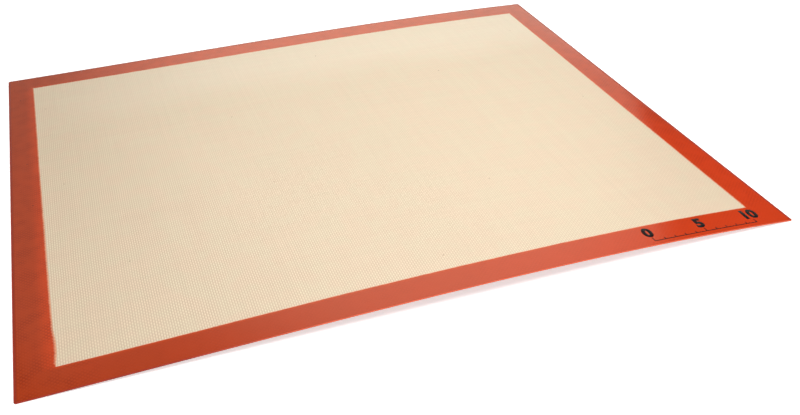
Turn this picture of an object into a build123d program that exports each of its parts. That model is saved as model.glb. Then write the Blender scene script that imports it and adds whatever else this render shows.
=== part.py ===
from build123d import *

import os

# Silicone baking mat, 640 x 520 mm
#
# A woven glass cloth between two coats of silicone. Inside the border the coats are natural
# beige silicone, and the border's coats are pigmented red and a little thicker. A red bead
# seals the cut edge of the cloth all round.
#
# The mat has been rolled up for storage and lies in a low arch: its two short sides rest on
# the worktop and its middle stands a few millimetres clear. The glass cloth bends and doesn't
# stretch, so the arch is made of flat facets between straight creases. Every layer follows
# the same facets, so that each one lies face to face on the next.
#
# Millimetres. +X runs along the long side, -Y is the near long side, with the printed scale,
# and +Z is up. The origin is under the middle of the mat, on the worktop.

# Plan of the mat
mat_length = 640.0
mat_width = 520.0
corner_radius = 2.0
border_width = 27.0
seal_width = 1.0

# Layers
cloth_thickness = 0.3
field_coat_thickness = 0.2
border_coat_thickness = 0.25

# The arch. Each long side rests on one cubic curve over the whole length, and these are the
# heights of its two control points, a third and two thirds of the way along.
near_left_pull = 6.0
near_right_pull = 18.0
far_left_pull = 1.5
far_right_pull = 8.3
spans_per_side = 10

# Printed scale, on the near border beside its right-hand end
scale_length = 100.0
half_scale_divisions = 5
scale_end_inset = 33.0
scale_edge_inset = 5.0
long_tick_length = 5.0
short_tick_length = 3.0
scale_line_width = 0.8
ink_thickness = 0.05

# A cut runs past what it cuts by this much
overrun = 1.0

# Heights of the layers' faces above the resting surface
border_underside = 0.0
cloth_underside = border_coat_thickness
field_underside = cloth_underside - field_coat_thickness
cloth_upside = cloth_underside + cloth_thickness
field_upside = cloth_upside + field_coat_thickness
border_upside = cloth_upside + border_coat_thickness
ink_upside = border_upside + ink_thickness

# Sizes in plan that follow from the mat's own
cloth_length = mat_length - 2 * seal_width
cloth_width = mat_width - 2 * seal_width
cloth_corner_radius = corner_radius - seal_width
field_length = mat_length - 2 * border_width
field_width = mat_width - 2 * border_width

# Cuts in plan start below the mat and end above the crown of its arch
highest_pull = max(near_left_pull, near_right_pull, far_left_pull, far_right_pull)
cutting_plane = Plane.XY.offset(-overrun)
cutting_height = overrun + highest_pull + ink_upside + overrun

os.makedirs("parts", exist_ok=True)


def side_points(side_y, left_pull, right_pull):
    """Points at even steps along the resting curve of one long side."""
    half_length = mat_length / 2
    third = mat_length / 3
    with BuildLine() as side:
        Bezier(
            (-half_length, side_y, 0),
            (third - half_length, side_y, left_pull),
            (half_length - third, side_y, right_pull),
            (half_length, side_y, 0),
        )
    return side.edge().positions([span / spans_per_side for span in range(spans_per_side + 1)])


def slope(points, span):
    """How steeply one span of a long side climbs to the right."""
    step = points[span + 1] - points[span]
    return step.Z / step.X


# Facets of the resting surface, from left to right. A crease joins the places where the two
# long sides are equally steep, so each facet has a span of one side and a point of the other.
near_points = side_points(-mat_width / 2, near_left_pull, near_right_pull)
far_points = side_points(mat_width / 2, far_left_pull, far_right_pull)
near_span = far_span = 0
facets = []
while near_span + far_span < 2 * spans_per_side:
    near_is_steeper = far_span == spans_per_side or (
        near_span < spans_per_side
        and slope(near_points, near_span) > slope(far_points, far_span)
    )
    crease = (near_points[near_span], far_points[far_span])
    if near_is_steeper:
        near_span += 1
        facets.append((*crease, near_points[near_span]))
    else:
        far_span += 1
        facets.append((*crease, far_points[far_span]))


def arched_layer(underside, upside):
    """Add a layer of the mat's whole length and width to the part that is being built."""
    for corners in facets:
        with BuildLine() as rim:
            Polyline(*[corner + Vector(0, 0, underside) for corner in corners], close=True)
        extrude(Face(rim.wire()), amount=upside - underside, dir=(0, 0, 1))


# Glass cloth: plain weave, cut to the seal all round
with BuildPart() as glass_cloth:
    arched_layer(cloth_underside, cloth_upside)
    with BuildSketch(cutting_plane):
        RectangleRounded(cloth_length, cloth_width, cloth_corner_radius)
    extrude(amount=cutting_height, mode=Mode.INTERSECT)
glass_cloth.part.label = "glass_cloth"
export_step(glass_cloth.part, "parts/glass_cloth.step")


# Field coats: natural beige silicone inside the border, over and under the cloth
with BuildPart() as top_field_coat:
    arched_layer(cloth_upside, field_upside)
    with BuildSketch(cutting_plane):
        Rectangle(field_length, field_width)
    extrude(amount=cutting_height, mode=Mode.INTERSECT)
top_field_coat.part.label = "top_field_coat"
export_step(top_field_coat.part, "parts/top_field_coat.step")

with BuildPart() as bottom_field_coat:
    arched_layer(field_underside, cloth_underside)
    with BuildSketch(cutting_plane):
        Rectangle(field_length, field_width)
    extrude(amount=cutting_height, mode=Mode.INTERSECT)
bottom_field_coat.part.label = "bottom_field_coat"
export_step(bottom_field_coat.part, "parts/bottom_field_coat.step")


# Border coats: red silicone rings between the field and the edge seal, over and under the cloth
with BuildPart() as top_border_coat:
    arched_layer(cloth_upside, border_upside)
    with BuildSketch(cutting_plane):
        RectangleRounded(cloth_length, cloth_width, cloth_corner_radius)
        Rectangle(field_length, field_width, mode=Mode.SUBTRACT)
    extrude(amount=cutting_height, mode=Mode.INTERSECT)
top_border_coat.part.label = "top_border_coat"
export_step(top_border_coat.part, "parts/top_border_coat.step")

with BuildPart() as bottom_border_coat:
    arched_layer(border_underside, cloth_underside)
    with BuildSketch(cutting_plane):
        RectangleRounded(cloth_length, cloth_width, cloth_corner_radius)
        Rectangle(field_length, field_width, mode=Mode.SUBTRACT)
    extrude(amount=cutting_height, mode=Mode.INTERSECT)
bottom_border_coat.part.label = "bottom_border_coat"
export_step(bottom_border_coat.part, "parts/bottom_border_coat.step")


# Edge seal: a bead of red silicone over the cut edge of the cloth. It is cut from the mat's
# whole outline, with rounded corners.
with BuildPart() as edge_seal:
    arched_layer(border_underside, border_upside)
    with BuildSketch(cutting_plane):
        RectangleRounded(mat_length, mat_width, corner_radius)
        RectangleRounded(cloth_length, cloth_width, cloth_corner_radius, mode=Mode.SUBTRACT)
    extrude(amount=cutting_height, mode=Mode.INTERSECT)
edge_seal.part.label = "edge_seal"
export_step(edge_seal.part, "parts/edge_seal.step")


# Printed scale: a film of black silicone ink on the near border. Ticks stand on a base line,
# with a long one at each end and at half way.
scale_right = mat_length / 2 - scale_end_inset
scale_left = scale_right - scale_length
scale_base = scale_edge_inset - mat_width / 2
tick_pitch = scale_length / (2 * half_scale_divisions)

with BuildPart() as printed_scale:
    arched_layer(border_upside, ink_upside)
    with BuildSketch(cutting_plane):
        with Locations(((scale_left + scale_right) / 2, scale_base)):
            Rectangle(scale_length + scale_line_width, scale_line_width, align=(Align.CENTER, Align.MIN))
        for division in range(2 * half_scale_divisions + 1):
            tick_length = short_tick_length if division % half_scale_divisions else long_tick_length
            with Locations((scale_left + division * tick_pitch, scale_base)):
                Rectangle(scale_line_width, tick_length, align=(Align.CENTER, Align.MIN))
    extrude(amount=cutting_height, mode=Mode.INTERSECT)
printed_scale.part.label = "printed_scale"
export_step(printed_scale.part, "parts/printed_scale.step")
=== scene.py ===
import bpy
import math
import numpy as np
from mathutils import Matrix, Vector


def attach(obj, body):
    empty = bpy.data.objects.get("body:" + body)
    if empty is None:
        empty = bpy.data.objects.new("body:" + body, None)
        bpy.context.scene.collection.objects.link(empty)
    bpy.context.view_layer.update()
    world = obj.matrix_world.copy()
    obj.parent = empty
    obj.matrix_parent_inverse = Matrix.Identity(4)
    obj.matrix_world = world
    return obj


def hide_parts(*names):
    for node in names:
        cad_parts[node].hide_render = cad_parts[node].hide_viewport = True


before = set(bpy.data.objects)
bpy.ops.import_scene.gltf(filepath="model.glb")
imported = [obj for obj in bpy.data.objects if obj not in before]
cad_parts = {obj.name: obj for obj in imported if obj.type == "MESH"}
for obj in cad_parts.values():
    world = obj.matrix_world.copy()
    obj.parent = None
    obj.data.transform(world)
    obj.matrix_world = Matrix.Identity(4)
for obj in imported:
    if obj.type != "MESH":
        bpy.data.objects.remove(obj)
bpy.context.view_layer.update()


# The glass cloth is the load-bearing layer of the mat: plain woven glass fibre, 0.3 mm thick.
# It is cut 1 mm short of the mat's outline all round. The mat was rolled up for storage, so it
# lies in a low arch. Glass bends and doesn't stretch, so the arch has straight creases.
mat_length = 0.640
mat_width = 0.520
cloth_length = 0.638
cloth_width = 0.518
cloth_corner_radius = 0.001
cloth_underside = 0.00025
cloth_upside = 0.00055
layer_cell = 0.008
smooth_angle = math.radians(30)
warp_pitch = 0.00191
weft_pitch = 0.001755
weft_crown = 0.08
yarn_drift = 0.0012
drift_size = 0.045
glass_relief = 0.0001
refractive_index = 1.41
glass_white = (0.86, 0.85, 0.80)
glass_shade = (0.62, 0.61, 0.55)

# Heights of the control points of each long side's resting curve, left and right
near_pulls = (0.0060, 0.0180)
far_pulls = (0.0015, 0.0083)
arch_spans = 64


def side_curve(pulls):
    """Places along one long side of the mat, and the arch's heights there."""
    share = np.linspace(0, 1, arch_spans + 1)
    height = 3 * share * (1 - share) ** 2 * pulls[0] + 3 * share**2 * (1 - share) * pulls[1]
    return (share - 0.5) * mat_length, height


# A crease joins the places where the two long sides are equally steep
near_places, near_heights = side_curve(near_pulls)
far_places, far_heights = side_curve(far_pulls)
near_slopes = np.diff(near_heights) / np.diff(near_places)
far_slopes = np.diff(far_heights) / np.diff(far_places)
near_span = 0
far_span = 0
creases = [(0, 0)]
while near_span + far_span < 2 * arch_spans:
    near_is_steeper = far_span == arch_spans or (
        near_span < arch_spans and near_slopes[near_span] > far_slopes[far_span]
    )
    if near_is_steeper:
        near_span += 1
    else:
        far_span += 1
    creases.append((near_span, far_span))
near_ends, far_ends = np.array(creases).T


def lay_on_arch(piece):
    """Raise each point of a flat piece by the height of the arch at its place."""
    for vertex in piece.data.vertices:
        toward_far = vertex.co.y / mat_width + 0.5
        places = near_places[near_ends] * (1 - toward_far) + far_places[far_ends] * toward_far
        heights = near_heights[near_ends] * (1 - toward_far) + far_heights[far_ends] * toward_far
        vertex.co.z += np.interp(vertex.co.x, places, heights)
    piece.data.update()


def pick_points(piece, chosen):
    """In edit mode, select the points of a piece for which chosen(place) is true."""
    bpy.ops.mesh.select_mode(type="VERT")
    bpy.ops.mesh.select_all(action="DESELECT")
    bpy.ops.object.mode_set(mode="OBJECT")
    for vertex in piece.data.vertices:
        vertex.select = bool(chosen(vertex.co))
    bpy.ops.object.mode_set(mode="EDIT")


def thicken(piece, thickness):
    """Give a flat piece its thickness, upwards."""
    wall = piece.modifiers.new("thickness", "SOLIDIFY")
    wall.thickness = thickness
    wall.offset = 1
    bpy.ops.object.modifier_apply(modifier=wall.name)


def flat_layer(name, length, width, underside, upside, corner_radius):
    """A layer of the mat, in cells small enough to follow the arch, with rounded corners."""
    bpy.ops.object.select_all(action="DESELECT")
    bpy.ops.mesh.primitive_grid_add(
        x_subdivisions=round(length / layer_cell),
        y_subdivisions=round(width / layer_cell),
        size=1,
        location=(0, 0, underside),
    )
    piece = bpy.context.object
    piece.name = name
    piece.data.name = name
    piece.scale = (length, width, 1)
    bpy.ops.object.transform_apply(location=True, rotation=False, scale=True)
    corner_x = length / 2 - 0.0001
    corner_y = width / 2 - 0.0001
    bpy.ops.object.mode_set(mode="EDIT")
    pick_points(piece, lambda co: abs(co.x) > corner_x and abs(co.y) > corner_y)
    bpy.ops.mesh.bevel(offset=corner_radius, segments=4, affect="VERTICES")
    bpy.ops.object.mode_set(mode="OBJECT")
    thicken(piece, upside - underside)
    lay_on_arch(piece)
    bpy.ops.object.shade_smooth_by_angle(angle=smooth_angle)
    return piece


def add_node(material, kind, settings=None, **sockets):
    """A node of a material, with its sockets set or linked by name, or by number as _0 and on."""
    made = material.node_tree.nodes.new(kind)
    for setting, value in (settings or {}).items():
        setattr(made, setting, value)
    for name, value in sockets.items():
        socket = made.inputs[int(name[1:])] if name[0] == "_" else made.inputs[name]
        if isinstance(value, bpy.types.NodeSocket):
            material.node_tree.links.new(value, socket)
        else:
            socket.default_value = value
    return made


def calculate(material, operation, first, second=0.0, third=0.0):
    """The result socket of a Math node."""
    made = add_node(
        material, "ShaderNodeMath", {"operation": operation}, _0=first, _1=second, _2=third
    )
    return made.outputs[0]


def blend_colours(material, share, first, second, way="MIX"):
    """The result socket of a colour mix."""
    settings = {"data_type": "RGBA", "blend_type": way}
    made = add_node(material, "ShaderNodeMix", settings, _0=share, _6=first, _7=second)
    return made.outputs[2]


def linear(colour):
    """A colour as it looks on screen, as the linear one that a shader takes."""
    return tuple(
        (c / 12.92 if c <= 0.04045 else ((c + 0.055) / 1.055) ** 2.4) for c in colour
    ) + (1.0,)


def patches(material, place, size, detail=2.0, stretch=(1, 1, 1), offset=(0, 0, 0)):
    """Soft uneven patches of about the given size, from 0 to 1."""
    moved = add_node(
        material, "ShaderNodeMapping", Vector=place, Scale=stretch, Location=offset
    ).outputs[0]
    noise = add_node(
        material,
        "ShaderNodeTexNoise",
        {"noise_dimensions": "3D"},
        Vector=moved,
        Scale=1 / size,
        Detail=detail,
        Roughness=0.5,
    )
    return noise.outputs[0]


def woven_relief(material, place, columns=0.54, checks=0.18, level=0.20):
    """The plain weave's relief, from 0 in pits to 1 on crowns, with yarns a little off line."""
    drift = calculate(material, "MULTIPLY", patches(material, place, drift_size), yarn_drift)
    axes = add_node(material, "ShaderNodeSeparateXYZ", Vector=place)
    across = calculate(material, "ADD", axes.outputs[0], drift)
    along = calculate(material, "ADD", axes.outputs[1], drift)
    across = calculate(material, "MULTIPLY", across, math.pi / warp_pitch)
    along = calculate(material, "MULTIPLY", along, math.pi / weft_pitch)
    warp = calculate(material, "SINE", across)
    weft = calculate(material, "SINE", along)
    warp_round = calculate(material, "MULTIPLY", calculate(material, "ABSOLUTE", warp), columns)
    weft_round = calculate(material, "MULTIPLY", calculate(material, "ABSOLUTE", weft), weft_crown)
    rounded = calculate(material, "ADD", warp_round, weft_round)
    raised = calculate(material, "ADD", rounded, level)
    crossing = calculate(material, "MULTIPLY", warp, weft)
    return calculate(material, "MULTIPLY_ADD", crossing, checks, raised)


def shade(material, colour, roughness, relief, depth):
    """Connect a material's colour, roughness and relief to its shader."""
    shader = material.node_tree.nodes["Principled BSDF"]
    links = material.node_tree.links
    bump = add_node(material, "ShaderNodeBump", Height=relief, Strength=1.0, Distance=depth)
    links.new(colour, shader.inputs["Base Color"])
    links.new(roughness, shader.inputs["Roughness"])
    links.new(bump.outputs[0], shader.inputs["Normal"])
    shader.inputs["IOR"].default_value = refractive_index
    return shader


def new_material(name):
    """A material with nodes, and the Object coordinates of its piece."""
    material = bpy.data.materials.new(name)
    material.use_nodes = True
    place = material.node_tree.nodes.new("ShaderNodeTexCoord").outputs["Object"]
    return material, place


def finish_piece(piece, material, node):
    """Dress a piece, and let it stand for its CAD node."""
    piece.data.materials.clear()
    piece.data.materials.append(material)
    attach(piece, "root")
    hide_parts(node)


cloth = flat_layer(
    "woven_glass_cloth",
    cloth_length,
    cloth_width,
    cloth_underside,
    cloth_upside,
    cloth_corner_radius,
)
glass, place = new_material("woven_glass")
relief = woven_relief(glass, place)
streaks = patches(glass, place, 0.004, stretch=(1, 0.03, 1))
# The weave's pits are painted darker, towards glass_shade, as painted shade in the recesses
yarns = blend_colours(glass, relief, linear(glass_shade), linear(glass_white))
shaded = calculate(glass, "MULTIPLY", streaks, 0.2)
glass_colour = blend_colours(glass, shaded, yarns, linear(glass_shade))
glass_roughness = calculate(glass, "MULTIPLY_ADD", streaks, 0.2, 0.35)
shade(glass, glass_colour, glass_roughness, relief, glass_relief)
finish_piece(cloth, glass, "glass_cloth")


# The field coats are natural beige silicone, 0.2 mm over and under the cloth inside the border.
# The silicone is spread wet and cures into the weave, so the yarns show through as dimples, with
# their pits painted darker as shade. Along the far side it is paler. Each coat runs on under the
# border printed over its edge.
border_width = 0.027
field_overlap = 0.0025
field_length = mat_length - 2 * border_width + 2 * field_overlap
field_width = mat_width - 2 * border_width + 2 * field_overlap
field_corner_radius = 0.0005
field_underside = 0.00005
field_upside = 0.00075
field_relief = 0.00007
mean_relief = 0.6
crumb_cells = 6.0
crumb_size = 0.0032
beige_pink = (0.969, 0.896, 0.796)
beige_cream = (0.957, 0.909, 0.803)
beige_pale = (0.952, 0.900, 0.825)
beige_pit_shade = (0.780, 0.655, 0.545)
crumb_brown = (0.600, 0.480, 0.380)


def ramp(material, value, start, end, low=0.0, high=1.0, ease="LINEAR"):
    """The result socket of a Map Range node: low where the value is at start, high at end."""
    made = add_node(
        material,
        "ShaderNodeMapRange",
        {"interpolation_type": ease},
        _0=value,
        _1=start,
        _2=end,
        _3=low,
        _4=high,
    )
    return made.outputs[0]


def scattered_dots(material, place, cells, size):
    """1 in small dots, about one to a cell, and 0 elsewhere. Cells to the metre, size in cells."""
    settings = {"voronoi_dimensions": "2D"}
    nearest = add_node(material, "ShaderNodeTexVoronoi", settings, Vector=place, Scale=cells)
    return calculate(material, "LESS_THAN", nearest.outputs[0], size)


upper_field_coat = flat_layer(
    "upper_field_coat",
    field_length,
    field_width,
    cloth_upside,
    field_upside,
    field_corner_radius,
)
lower_field_coat = flat_layer(
    "lower_field_coat",
    field_length,
    field_width,
    field_underside,
    cloth_underside,
    field_corner_radius,
)

beige_silicone, place = new_material("beige_silicone")
relief = woven_relief(beige_silicone, place)
axes = add_node(beige_silicone, "ShaderNodeSeparateXYZ", Vector=place)
to_right = axes.outputs[0]
to_far = axes.outputs[1]
clouds = patches(beige_silicone, place, 0.09, detail=3.0)
mottle = patches(beige_silicone, place, 0.018, detail=4.0)
mottle = ramp(beige_silicone, mottle, 0.36, 0.64, ease="SMOOTHSTEP")
tone = blend_colours(beige_silicone, mottle, linear(beige_pink), linear(beige_cream))

# Along the far side the beige is paler and its pits show less, least so at its left end
away_from_left = ramp(beige_silicone, to_right, -0.30, -0.10, 0.2, 1.0)
far_paling = calculate(beige_silicone, "MULTIPLY_ADD", clouds, 0.05, to_far)
far_paling = ramp(beige_silicone, far_paling, 0.125, 0.215, 0.0, 0.45, ease="SMOOTHSTEP")
far_paling = calculate(beige_silicone, "MULTIPLY", far_paling, away_from_left)
tone = blend_colours(beige_silicone, far_paling, tone, linear(beige_pale))

# The pits are painted darker as shade, most strongly by the near left corner, and less so about
# their mean toward the far right
pit_shade_strength = calculate(beige_silicone, "MULTIPLY_ADD", to_right, 0.9, to_far)
pit_shade_strength = ramp(beige_silicone, pit_shade_strength, -0.24, 0.0, 0.88, 0.43)
patchy = patches(beige_silicone, place, 0.014, detail=3.0, offset=(5, 2, 1))
patchy = calculate(beige_silicone, "MULTIPLY_ADD", patchy, 1.2, 0.4)
pit_shade_strength = calculate(beige_silicone, "MULTIPLY", pit_shade_strength, patchy)
pits = calculate(beige_silicone, "SUBTRACT", mean_relief, relief)
pits = calculate(beige_silicone, "MULTIPLY_ADD", pits, pit_shade_strength, 1 - mean_relief)
unpaled = calculate(beige_silicone, "SUBTRACT", 1.0, far_paling)
pits = calculate(beige_silicone, "MULTIPLY", pits, unpaled)
field_colour = blend_colours(beige_silicone, pits, tone, linear(beige_pit_shade))

# Yarns a little thicker or thinner than the next show as streaks both ways
warp_streaks = patches(beige_silicone, place, 0.003, stretch=(1, 0.02, 1))
weft_streaks = patches(beige_silicone, place, 0.003, stretch=(0.02, 1, 1))
streaks = calculate(beige_silicone, "ADD", warp_streaks, weft_streaks)
streaks = calculate(beige_silicone, "MULTIPLY_ADD", streaks, 0.06, 0.94)
field_colour = blend_colours(beige_silicone, 1.0, field_colour, streaks, "MULTIPLY")
crumb = scattered_dots(beige_silicone, place, crumb_cells, crumb_size)
field_colour = blend_colours(beige_silicone, crumb, field_colour, linear(crumb_brown))
field_roughness = calculate(beige_silicone, "MULTIPLY_ADD", clouds, 0.10, 0.18)
shade(beige_silicone, field_colour, field_roughness, relief, field_relief)
finish_piece(upper_field_coat, beige_silicone, "top_field_coat")
finish_piece(lower_field_coat, beige_silicone, "bottom_field_coat")


# The border coats are red pigmented silicone, printed as a ring on each face of the mat. The print
# thins out to its inner edge, where it lies on the beige coat, and that edge is a little uneven. On
# the short sides it thins out over a wider strip, and by the near left corner it wanders inward.
border_reach = 0.026
border_underside = 0.0
border_upside = 0.0008
row_distances = (0.0, 0.0005, 0.0012, 0.0025, 0.0030, 0.0060, 0.0120, 0.0230, 0.0260)
edge_thinning = (0.00004, 0.000015, 0.0)
long_side_cuts = 448
short_side_cuts = 356
shortest_side = 0.1
fine_wander = 0.00010
slow_wander = 0.00035
edge_hold = 0.005
even_strip = 0.0045
left_strip = 0.0130
right_strip = 0.0065
corner_reach = 0.003
near_rim_shade_offset = 0.0015
rim_width = 0.0022
border_relief = 0.00003
speck_cells = 16.0
speck_size = 0.009
hidden_pit_shade = 0.12
red = (0.838, 0.256, 0.106)
red_deep = (0.705, 0.250, 0.108)
red_bright = (0.835, 0.282, 0.118)
red_pit_shade = (0.430, 0.112, 0.062)
red_rim_shade = (0.560, 0.150, 0.075)
print_fringe = (0.955, 0.730, 0.590)
speck_brown = (0.230, 0.090, 0.060)


def pick_edges(piece, chosen):
    """In edit mode, select the edges of a piece for which chosen(one end, other end) is true."""
    bpy.ops.mesh.select_mode(type="EDGE")
    bpy.ops.mesh.select_all(action="DESELECT")
    bpy.ops.object.mode_set(mode="OBJECT")
    points = piece.data.vertices
    for edge in piece.data.edges:
        edge.select = bool(chosen(points[edge.vertices[0]].co, points[edge.vertices[1]].co))
    bpy.ops.object.mode_set(mode="EDIT")


def cut_sides(piece, cuts_by_axis):
    """In edit mode, cut a ring's long sides, along x, and its short ones, along y."""
    for axis, cuts in enumerate(cuts_by_axis):
        other = 1 - axis
        pick_edges(
            piece,
            lambda a, b: abs(a[other] - b[other]) < 1e-6 and abs(a[axis] - b[axis]) > shortest_side,
        )
        bpy.ops.mesh.subdivide(number_cuts=cuts)


def border_ring(name, underside, upside, is_upper, seed):
    """A ring of the border's size, in columns along its sides and rows across them."""
    inner_length = cloth_length - 2 * border_reach
    inner_width = cloth_width - 2 * border_reach
    bpy.ops.object.select_all(action="DESELECT")
    bpy.ops.mesh.primitive_plane_add(size=1, location=(0, 0, underside))
    piece = bpy.context.object
    piece.name = name
    piece.data.name = name
    piece.scale = (cloth_length, cloth_width, 1)
    bpy.ops.object.transform_apply(location=True, rotation=False, scale=True)
    bpy.ops.object.mode_set(mode="EDIT")
    bpy.ops.mesh.inset(thickness=border_reach)
    bpy.ops.mesh.delete(type="ONLY_FACE")
    cut_sides(piece, (long_side_cuts, short_side_cuts))
    pick_edges(piece, lambda a, b: math.dist(a, b) > border_reach / 2)
    bpy.ops.mesh.subdivide(number_cuts=len(row_distances) - 2)
    bpy.ops.object.mode_set(mode="OBJECT")

    # How far the print's edge wanders inward along the left, right, near and far sides
    random = np.random.default_rng(seed)
    stations = np.linspace(-0.33, 0.33, 500)
    wander = []
    for _ in range(4):
        fine = np.convolve(random.normal(0, 1, 500), np.ones(3) / 3, "same")
        slow = np.convolve(random.normal(0, 1, 500), np.hanning(60) / 30, "same")
        wander.append(fine_wander * fine + slow_wander * slow)
    left_places = (-0.233, -0.216, -0.204, -0.190, -0.120, 0.0, 0.233)
    left_reaches = (0.0029, 0.0042, 0.0037, 0.0024, 0.0019, 0.0012, 0.0002)
    wander[0] += np.interp(stations, left_places, left_reaches)
    wander[1] += np.interp(stations, (-0.233, 0.0, 0.233), (0.0012, 0.0009, -0.0007))
    wander[2] += np.interp(stations, (-0.20, 0.05), (-0.0002, 0.0004))
    wander[3] += np.interp(stations, (-0.293, -0.06, 0.293), (0.0018, 0.0025, 0.0006))
    distance = piece.data.attributes.new("from_print_edge", "FLOAT", "POINT")
    even_rows = np.linspace(0, border_reach, len(row_distances))
    for vertex, kept in zip(piece.data.vertices, distance.data):
        x, y = vertex.co.x, vertex.co.y
        beyond_x = abs(x) - inner_length / 2
        beyond_y = abs(y) - inner_width / 2
        even = max(beyond_x, beyond_y)
        set_back = float(np.interp(even, even_rows, row_distances))
        x *= (inner_length / 2 + set_back) / (inner_length / 2 + even)
        y *= (inner_width / 2 + set_back) / (inner_width / 2 + even)
        hold = max(0.0, 1 - set_back / edge_hold)
        if beyond_x > beyond_y - 1e-6:
            x -= math.copysign(hold, x) * np.interp(y, stations, wander[0 if x < 0 else 1])
        if beyond_y > beyond_x - 1e-6:
            y -= math.copysign(hold, y) * np.interp(x, stations, wander[2 if y < 0 else 3])
        vertex.co.x = x
        vertex.co.y = y
        kept.value = set_back
    thicken(piece, upside - underside)

    # The outer face thins out to the print's edge, and the inner face steps up on to the beige coat
    outer_face = upside if is_upper else underside
    coat_face = field_upside if is_upper else field_underside
    outward = 1 if is_upper else -1
    distance = piece.data.attributes["from_print_edge"]
    for vertex, kept in zip(piece.data.vertices, distance.data):
        if abs(vertex.co.z - outer_face) < 1e-7:
            thinned = float(np.interp(kept.value, row_distances[:3], edge_thinning))
            vertex.co.z = outer_face - outward * thinned
        elif kept.value < field_overlap + 0.0001:
            vertex.co.z = coat_face

    # How far a point lies from the rim, and from the print's edge in strips of the width over which
    # each side thins out
    rim = piece.data.attributes.new("from_rim", "FLOAT", "POINT")
    for vertex, kept, rim_kept in zip(piece.data.vertices, distance.data, rim.data):
        past_x = abs(vertex.co.x) - inner_length / 2
        past_y = abs(vertex.co.y) - inner_width / 2
        # Along the near side the rim's painted shade starts further out
        on_near_side = vertex.co.y < 0 and past_y > past_x
        rim_kept.value = border_reach - kept.value + (near_rim_shade_offset if on_near_side else 0.0)
        strip = even_strip
        if past_x > past_y:
            strip = left_strip if vertex.co.x < 0 else right_strip
        corner_share = min(1.0, max(0.0, min(past_x, past_y) / corner_reach))
        strip = strip * (1 - corner_share) + even_strip * corner_share
        kept.value = kept.value / strip
    lay_on_arch(piece)
    bpy.ops.object.shade_smooth_by_angle(angle=smooth_angle)
    return piece


upper_border_coat = border_ring("upper_border_coat", cloth_upside, border_upside, True, 11)
lower_border_coat = border_ring("lower_border_coat", border_underside, cloth_underside, False, 23)

red_silicone, place = new_material("red_silicone")
relief = woven_relief(red_silicone, place, columns=0.25, checks=0.35, level=0.36)
from_edge = add_node(
    red_silicone, "ShaderNodeAttribute", {"attribute_name": "from_print_edge"}
).outputs[2]
from_rim = add_node(red_silicone, "ShaderNodeAttribute", {"attribute_name": "from_rim"}).outputs[2]
axes = add_node(red_silicone, "ShaderNodeSeparateXYZ", Vector=place)
to_right = axes.outputs[0]
to_far = axes.outputs[1]

# The red is painted darker toward the left as painted shade, and varies in soft clouds
clouds = patches(red_silicone, place, 0.05, detail=3.0)
painted_light_and_clouds = calculate(red_silicone, "MULTIPLY_ADD", to_right, 1 / mat_length, 0.5)
painted_light_and_clouds = calculate(red_silicone, "SUBTRACT", painted_light_and_clouds, 0.2)
painted_light_and_clouds = calculate(red_silicone, "MULTIPLY_ADD", clouds, 0.4, painted_light_and_clouds)

# Along the middle of the far side the print is painted brighter as painted light, with painted shade
# toward its corners
on_far_side = ramp(red_silicone, to_far, 0.200, 0.235)
off_middle = calculate(red_silicone, "ADD", to_right, 0.06)
off_middle = calculate(red_silicone, "ABSOLUTE", off_middle)
brighter = ramp(red_silicone, off_middle, 0.0, 0.30, 0.6, 0.0, ease="SMOOTHSTEP")
painted_light_and_clouds = calculate(red_silicone, "MULTIPLY_ADD", brighter, on_far_side, painted_light_and_clouds)

# The far part of the right-hand band is a little deeper in colour again
deeper = calculate(red_silicone, "MULTIPLY_ADD", to_far, 0.25, to_right)
deeper = ramp(red_silicone, deeper, 0.275, 0.300, 0.0, 0.4)
highest = calculate(red_silicone, "SUBTRACT", 1.0, deeper)
painted_light_and_clouds = calculate(red_silicone, "MINIMUM", painted_light_and_clouds, highest)
pigment_and_painted_light = blend_colours(red_silicone, painted_light_and_clouds, linear(red_deep), linear(red))

# The thinner print is brighter, and pales at its very edge, over a wider fringe off the left side
thin_print = ramp(red_silicone, from_edge, -0.3, 1.0, 1.0, 0.0, ease="SMOOTHERSTEP")
pigment_and_painted_light = blend_colours(red_silicone, thin_print, pigment_and_painted_light, linear(red_bright))
fringe_reach = patches(red_silicone, place, 0.0012)
fringe_reach = calculate(red_silicone, "MULTIPLY_ADD", fringe_reach, 0.12, 0.05)
widening = ramp(red_silicone, to_right, -0.286, -0.270, 1.0, 2.0)
fringe_reach = calculate(red_silicone, "MULTIPLY", fringe_reach, widening)
fringe = ramp(red_silicone, from_edge, 0.0, fringe_reach, 0.95, 0.0, ease="SMOOTHSTEP")
pigment_and_painted_light = blend_colours(red_silicone, fringe, pigment_and_painted_light, linear(print_fringe))

# The rim is painted darker as painted shade, less so along the near side, and the left side has a
# few specks
rim_shade = ramp(red_silicone, from_rim, 0.0, rim_width, 0.8, 0.0, ease="SMOOTHSTEP")
pigment_and_painted_light = blend_colours(red_silicone, rim_shade, pigment_and_painted_light, linear(red_rim_shade))
speck = scattered_dots(red_silicone, place, speck_cells, speck_size)
on_left_side = calculate(red_silicone, "LESS_THAN", to_right, -0.290)
speck = calculate(red_silicone, "MULTIPLY", speck, on_left_side)
pigment_and_painted_light = blend_colours(red_silicone, speck, pigment_and_painted_light, linear(speck_brown))

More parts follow.
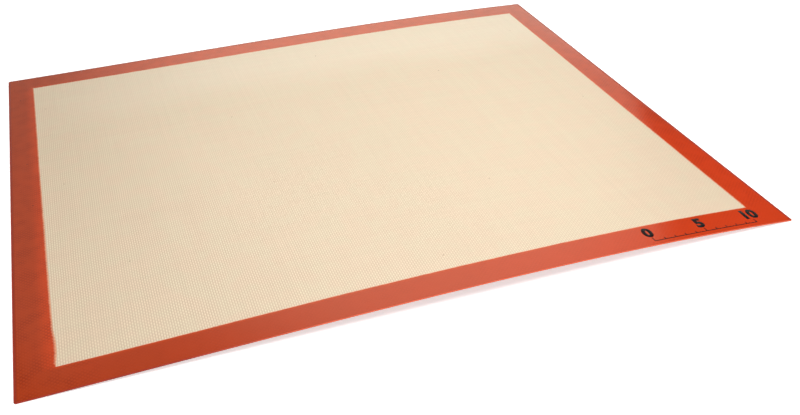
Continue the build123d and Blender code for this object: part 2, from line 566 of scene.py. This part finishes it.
# The weave's pits are painted darker as shade, unevenly. Along the near side and the near part of
# the right one they hardly show, but their mean painted shade is still there.
pits = calculate(red_silicone, "SUBTRACT", 1.0, relief)
pits = calculate(red_silicone, "POWER", pits, 2.0)
uneven = patches(red_silicone, place, 0.012, detail=3.0, offset=(3, 1, 2))
uneven = ramp(red_silicone, uneven, 0.40, 0.65, 0.25, 0.95)
off_near_band = ramp(red_silicone, to_far, -0.238, -0.228, 0.25, 1.0)
by_left_corner = ramp(red_silicone, to_right, -0.285, -0.245, 1.0, 0.0)
showing = calculate(red_silicone, "MAXIMUM", off_near_band, by_left_corner)
off_near_part = ramp(red_silicone, to_far, -0.100, -0.050, 0.5, 1.0)
off_right_band = ramp(red_silicone, to_right, 0.270, 0.290, 1.0, 0.0)
showing_right = calculate(red_silicone, "MAXIMUM", off_near_part, off_right_band)
showing = calculate(red_silicone, "MULTIPLY", showing, showing_right)
uneven = calculate(red_silicone, "MULTIPLY", uneven, showing)
pits = calculate(red_silicone, "MULTIPLY", pits, uneven)
pits_hidden = calculate(red_silicone, "SUBTRACT", 1.0, showing)
pits = calculate(red_silicone, "MULTIPLY_ADD", pits_hidden, hidden_pit_shade, pits)
border_colour = blend_colours(red_silicone, pits, pigment_and_painted_light, linear(red_pit_shade))
border_roughness = calculate(red_silicone, "MULTIPLY_ADD", clouds, 0.05, 0.09)
border_roughness = calculate(red_silicone, "MULTIPLY_ADD", rim_shade, 0.4, border_roughness)
shade(red_silicone, border_colour, border_roughness, relief, border_relief)
finish_piece(upper_border_coat, red_silicone, "top_border_coat")
finish_piece(lower_border_coat, red_silicone, "bottom_border_coat")


# The edge bead is red silicone too, run round the cut edge of the cloth so that no glass frays out.
# It is 1 mm wide, as thick as the mat, and rounded on the outside. It is darker than the print in
# soft clouds, partly from handling dirt and partly as painted shade along the edge.
seal_width = 0.001
corner_radius = 0.002
outline_tolerance = 0.0002
bead_round = 0.0003
bead_cuts = (80, 65)
bead_smooth_angle = math.radians(50)
bead_relief = 0.00005
bead_red = (0.740, 0.215, 0.095)
bead_dark = (0.600, 0.160, 0.075)
bead_painted_light = (0.940, 0.430, 0.280)

bpy.ops.object.select_all(action="DESELECT")
bpy.ops.mesh.primitive_plane_add(size=1, location=(0, 0, border_underside))
edge_bead = bpy.context.object
edge_bead.name = "edge_bead"
edge_bead.data.name = "edge_bead"
edge_bead.scale = (mat_length, mat_width, 1)
bpy.ops.object.transform_apply(location=True, rotation=False, scale=True)
bpy.ops.object.mode_set(mode="EDIT")
bpy.ops.mesh.select_all(action="SELECT")
bpy.ops.mesh.bevel(offset=corner_radius, segments=6, affect="VERTICES")
bpy.ops.mesh.select_all(action="SELECT")
bpy.ops.mesh.inset(thickness=seal_width)
bpy.ops.mesh.delete(type="ONLY_FACE")
cut_sides(edge_bead, bead_cuts)
bpy.ops.object.mode_set(mode="OBJECT")
thicken(edge_bead, border_upside - border_underside)


def on_outline(co):
    """Whether a point lies on the mat's own outline, round its corners too."""
    past_x = abs(co.x) - (mat_length / 2 - corner_radius)
    past_y = abs(co.y) - (mat_width / 2 - corner_radius)
    if past_x > 0 and past_y > 0:
        return math.hypot(past_x, past_y) > corner_radius - outline_tolerance
    return max(past_x, past_y) > corner_radius - outline_tolerance


bpy.ops.object.mode_set(mode="EDIT")
pick_edges(
    edge_bead, lambda a, b: on_outline(a) and on_outline(b) and abs(a.z - b.z) < 1e-6
)
bpy.ops.mesh.bevel(offset=bead_round, segments=4, affect="EDGES")
bpy.ops.object.mode_set(mode="OBJECT")
lay_on_arch(edge_bead)
bpy.ops.object.shade_smooth_by_angle(angle=bead_smooth_angle)

bead_silicone, place = new_material("bead_silicone")
clouds = patches(bead_silicone, place, 0.012, detail=4.0)
grain = patches(bead_silicone, place, 0.0008)
# The darker clouds are partly handling dirt and partly painted shade along the edge
bead_colour = blend_colours(bead_silicone, clouds, linear(bead_dark), linear(bead_red))

# Along the near side, away from the left corner, the bead is painted brighter as painted light from
# the front
axes = add_node(bead_silicone, "ShaderNodeSeparateXYZ", Vector=place)
on_near_side = ramp(bead_silicone, axes.outputs[1], -0.2595, -0.2590, 1.0, 0.0)
away_from_left = ramp(bead_silicone, axes.outputs[0], -0.20, -0.10, 0.0, 0.9)
near_side_painted_light = calculate(bead_silicone, "MULTIPLY", on_near_side, away_from_left)
bead_colour = blend_colours(bead_silicone, near_side_painted_light, bead_colour, linear(bead_painted_light))
bead_roughness = calculate(bead_silicone, "MULTIPLY_ADD", grain, 0.2, 0.45)
shade(bead_silicone, bead_colour, bead_roughness, grain, bead_relief)
finish_piece(edge_bead, bead_silicone, "edge_seal")


# The printed scale is a film of black silicone ink on the near border, cured on to the red coat.
# Ticks stand 10 mm apart on a base line, longer at both ends and half way. Plain numbers in
# centimetres stand over the long ones.
scale_left = 0.187
scale_length = 0.100
scale_base = -0.255
scale_line_width = 0.0008
scale_divisions = 10
half_way = 5
tick_pitch = 0.010
long_tick = 0.005
short_tick = 0.003
base_line_cuts = 19
longest_uncut = 0.01
ink_underside = border_upside
ink_upside = 0.00085
numeral_height = 0.0110
numeral_share = 0.69
numeral_boldness = 0.0009
numeral_base = -0.2481
ink_relief = 0.00003
ink_black = (0.035, 0.026, 0.024)
ink_worn = (0.095, 0.062, 0.055)


def ink_bar(left, right, base, top):
    """A flat bar of print, in lengths short enough to follow the arch."""
    bpy.ops.object.select_all(action="DESELECT")
    middle = ((left + right) / 2, (base + top) / 2, ink_underside)
    bpy.ops.mesh.primitive_plane_add(size=1, location=middle)
    bar = bpy.context.object
    bar.scale = (right - left, top - base, 1)
    bpy.ops.object.transform_apply(location=True, rotation=False, scale=True)
    if right - left > longest_uncut:
        bpy.ops.object.mode_set(mode="EDIT")
        pick_edges(bar, lambda a, b: abs(a.x - b.x) > longest_uncut)
        bpy.ops.mesh.subdivide(number_cuts=base_line_cuts)
        bpy.ops.object.mode_set(mode="OBJECT")
    return bar


def ink_numeral(text, middle):
    """A bold number, as flat print. Its type size is more than the height of its figures."""
    bpy.ops.object.select_all(action="DESELECT")
    bpy.ops.object.text_add(location=(0, 0, 0))
    numeral = bpy.context.object
    numeral.data.body = text
    numeral.data.size = numeral_height / numeral_share
    numeral.data.offset = numeral_boldness
    numeral.data.resolution_u = 6
    numeral.data.align_x = "CENTER"
    numeral.data.align_y = "BOTTOM_BASELINE"
    bpy.ops.object.convert(target="MESH")
    numeral = bpy.context.object
    numeral.location = (middle, numeral_base, ink_underside)
    bpy.ops.object.transform_apply(location=True, rotation=False, scale=True)
    return numeral


half_line = scale_line_width / 2
tick_base = scale_base + scale_line_width
scale_right = scale_left + scale_length
prints = [ink_bar(scale_left - half_line, scale_right + half_line, scale_base, tick_base)]
for division in range(scale_divisions + 1):
    middle = scale_left + division * tick_pitch
    tick = short_tick if division % half_way else long_tick
    prints.append(ink_bar(middle - half_line, middle + half_line, tick_base, scale_base + tick))
for division in (0, half_way, scale_divisions):
    prints.append(ink_numeral(str(division), scale_left + division * tick_pitch))
bpy.ops.object.select_all(action="DESELECT")
for bar in prints:
    bar.select_set(True)
bpy.context.view_layer.objects.active = prints[0]
bpy.ops.object.join()
scale_print = bpy.context.object
scale_print.name = "scale_print"
scale_print.data.name = "scale_print"
bpy.ops.object.mode_set(mode="EDIT")
bpy.ops.mesh.select_all(action="SELECT")
bpy.ops.mesh.remove_doubles(threshold=0.000001)
bpy.ops.mesh.normals_make_consistent(inside=False)
bpy.ops.object.mode_set(mode="OBJECT")
thicken(scale_print, ink_upside - ink_underside)
lay_on_arch(scale_print)

black_ink, place = new_material("black_ink")
wear = patches(black_ink, place, 0.0015, detail=4.0)
relief = woven_relief(black_ink, place)
worn = calculate(black_ink, "MULTIPLY", wear, 0.6)
ink_colour = blend_colours(black_ink, worn, linear(ink_black), linear(ink_worn))
ink_roughness = calculate(black_ink, "MULTIPLY_ADD", wear, 0.15, 0.50)
ink_shader = shade(black_ink, ink_colour, ink_roughness, relief, ink_relief)
ink_shader.inputs["Specular IOR Level"].default_value = 0.25
finish_piece(scale_print, black_ink, "printed_scale")


# The worktop and the wall behind it are a plain white studio sweep. They take the mat's shadow, and
# look white to the camera without lighting the mat more.
floor_white = (0.93, 0.93, 0.93)
floor_lift = 0.62
wall_lift = 0.75
wall_distance = 8.0
wall_height = 2.6
wall_sides = 96


def studio_white(name, lift):
    """Plain white paint that camera, glossy and transmission rays see lifted to white."""
    paint = bpy.data.materials.new(name)
    paint.use_nodes = True
    nodes = paint.node_tree.nodes
    links = paint.node_tree.links
    nodes.remove(nodes["Principled BSDF"])
    matt = nodes.new("ShaderNodeBsdfDiffuse")
    matt.inputs["Color"].default_value = linear(floor_white)
    glow = nodes.new("ShaderNodeEmission")
    rays = nodes.new("ShaderNodeLightPath")
    seen = calculate(paint, "MAXIMUM", rays.outputs["Is Camera Ray"], rays.outputs["Is Glossy Ray"])
    seen = calculate(paint, "MAXIMUM", seen, rays.outputs["Is Transmission Ray"])
    links.new(calculate(paint, "MULTIPLY", seen, lift), glow.inputs["Strength"])
    both = nodes.new("ShaderNodeAddShader")
    links.new(matt.outputs[0], both.inputs[0])
    links.new(glow.outputs[0], both.inputs[1])
    links.new(both.outputs[0], nodes["Material Output"].inputs["Surface"])
    return paint


bpy.ops.object.select_all(action="DESELECT")
bpy.ops.mesh.primitive_circle_add(
    vertices=wall_sides, radius=wall_distance, fill_type="NGON", location=(0, 0, 0)
)
worktop = bpy.context.object
worktop.name = "worktop"
worktop.data.materials.append(studio_white("worktop_white", floor_lift))

bpy.ops.object.select_all(action="DESELECT")
bpy.ops.mesh.primitive_cylinder_add(
    vertices=wall_sides,
    radius=wall_distance,
    depth=wall_height,
    end_fill_type="NOTHING",
    location=(0, 0, wall_height / 2),
)
wall = bpy.context.object
wall.name = "studio_wall"
wall.data.materials.append(studio_white("wall_white", wall_lift))


# A large softbox stands behind the mat on its right, brightest to the right of its middle. Its
# reflection washes over the far and near border. A wide lamp overhead and a low one in front do
# the rest.
softbox_middle = (0.19, 1.815, 1.25)
softbox_aim = (-0.275, 0.93, 1.25)
softbox_width = 2.82
softbox_height = 1.70
softbox_roll = math.radians(12)
softbox_tint = (1.0, 0.93, 0.725)
hot_spot = (0.588, 1.606, 1.20)
hot_spot_core = 0.45
hot_spot_reach = 1.30
hot_spot_strength = 1.86
outer_strength = 0.42
room_strength = 0.05


def soft_lamp(name, centre, aim, width, height, radiance, roll=0.0):
    """A rectangular lamp that faces a point and is rolled about that line, unseen by the camera."""
    lamp = bpy.data.lights.new(name, "AREA")
    lamp.shape = "RECTANGLE"
    lamp.size = width
    lamp.size_y = height
    lamp.energy = radiance * math.pi * width * height
    holder = bpy.data.objects.new(name, lamp)
    bpy.context.scene.collection.objects.link(holder)
    holder.location = centre
    facing = (Vector(aim) - Vector(centre)).to_track_quat("-Z", "Y").to_matrix()
    holder.rotation_euler = (facing @ Matrix.Rotation(roll, 3, "Z")).to_euler()
    holder.visible_camera = False
    return lamp


softbox = soft_lamp(
    "softbox_behind_right",
    softbox_middle,
    softbox_aim,
    softbox_width,
    softbox_height,
    radiance=1.0,
    roll=softbox_roll,
)
softbox.color = softbox_tint
softbox.use_nodes = True
lamp_nodes = softbox.node_tree.nodes
lamp_links = softbox.node_tree.links
spot = lamp_nodes.new("ShaderNodeNewGeometry")
from_hot_spot = lamp_nodes.new("ShaderNodeVectorMath")
from_hot_spot.operation = "DISTANCE"
from_hot_spot.inputs[1].default_value = hot_spot
lamp_links.new(spot.outputs["Position"], from_hot_spot.inputs[0])
fade = lamp_nodes.new("ShaderNodeMapRange")
fade.interpolation_type = "SMOOTHSTEP"
fade.inputs["From Min"].default_value = hot_spot_core
fade.inputs["From Max"].default_value = hot_spot_reach
fade.inputs["To Min"].default_value = hot_spot_strength
fade.inputs["To Max"].default_value = outer_strength
lamp_links.new(from_hot_spot.outputs["Value"], fade.inputs["Value"])
lamp_links.new(fade.outputs[0], lamp_nodes["Emission"].inputs["Strength"])

soft_lamp(
    "lamp_overhead", (0.18, -0.40, 1.20), (0.18, -0.39, 0.00), width=1.00, height=1.00, radiance=5.3
)
soft_lamp(
    "lamp_in_front", (0.60, -2.20, 0.60), (0.10, 0.00, 0.00), width=1.60, height=0.60, radiance=3.0
)

room = bpy.data.worlds.new("room")
bpy.context.scene.world = room
room.use_nodes = True
background = room.node_tree.nodes["Background"]
background.inputs["Color"].default_value = (1.0, 1.0, 1.0, 1.0)
background.inputs["Strength"].default_value = room_strength


# The camera stands at the photograph's viewpoint, in front of the mat's left part, and looks down
# at it through a normal lens. The shift frames the mat as the photograph does.
camera_place = Vector((-0.22252, -0.74859, 0.45858))
camera_right = Vector((0.95124587, -0.30749278, -0.02407236))
camera_down = Vector((-0.19084277, -0.52547339, -0.82913012))
camera_ahead = Vector((0.24230214, 0.79330064, -0.55853716))

viewpoint = bpy.data.cameras.new("viewpoint")
viewpoint.sensor_width = 36
viewpoint.lens = 40.760
viewpoint.shift_x = 0.05955
viewpoint.shift_y = -0.01245
viewpoint.clip_start = 0.01
viewpoint.clip_end = 100
camera = bpy.data.objects.new("viewpoint", viewpoint)
bpy.context.scene.collection.objects.link(camera)
turned = Matrix((camera_right, -camera_down, -camera_ahead)).transposed()
camera.matrix_world = Matrix.Translation(camera_place) @ turned.to_4x4()
bpy.context.scene.camera = camera

bpy.context.scene.view_settings.view_transform = "Standard"
